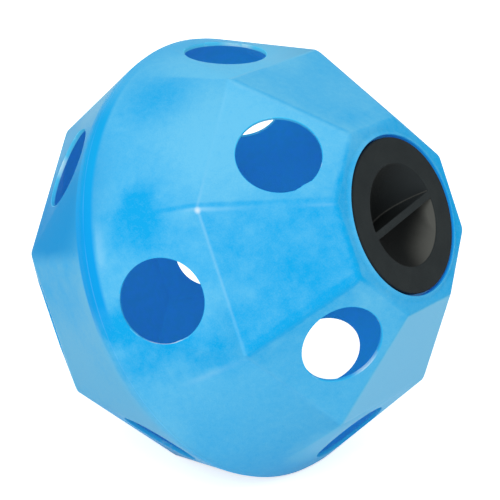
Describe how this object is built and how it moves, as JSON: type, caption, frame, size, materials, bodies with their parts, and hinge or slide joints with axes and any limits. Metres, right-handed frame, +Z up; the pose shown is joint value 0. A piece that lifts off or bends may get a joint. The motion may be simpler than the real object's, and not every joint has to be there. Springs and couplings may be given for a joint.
{
  "type": "hay ball feeder",
  "caption": "Hollow faceted plastic ball with round feed holes staggered around it and a dished screw plug in its filler neck; it holds hay that an animal pulls out as it rolls.",
  "frame": {"origin": "on the flat lower facet of the ball's back half that the ball lies on, straight below the ball's centre", "axes": "+Z is up from that facet, the plug faces -Y and upwards, and +X is to the right as seen from the plug's side"},
  "size_m": [0.3988, 0.3932, 0.3651],
  "materials": {
    "sky_blue_polyethylene": "satin, slightly cloudy, as it comes from a rotating mould",
    "black_polyethylene": "matte"
  },
  "bodies": {
    "ball": {"ball_shell": "sky_blue_polyethylene"},
    "plug": {"filler_plug": "black_polyethylene"}
  },
  "joints": [
    {"name": "plug_unscrew", "type": "hinge", "parent": "ball", "child": "plug", "pos_m": [0, -0.16513, 0.25975], "axis": [0, -0.9058, 0.4236], "range_deg": [0, 270]}
  ]
}
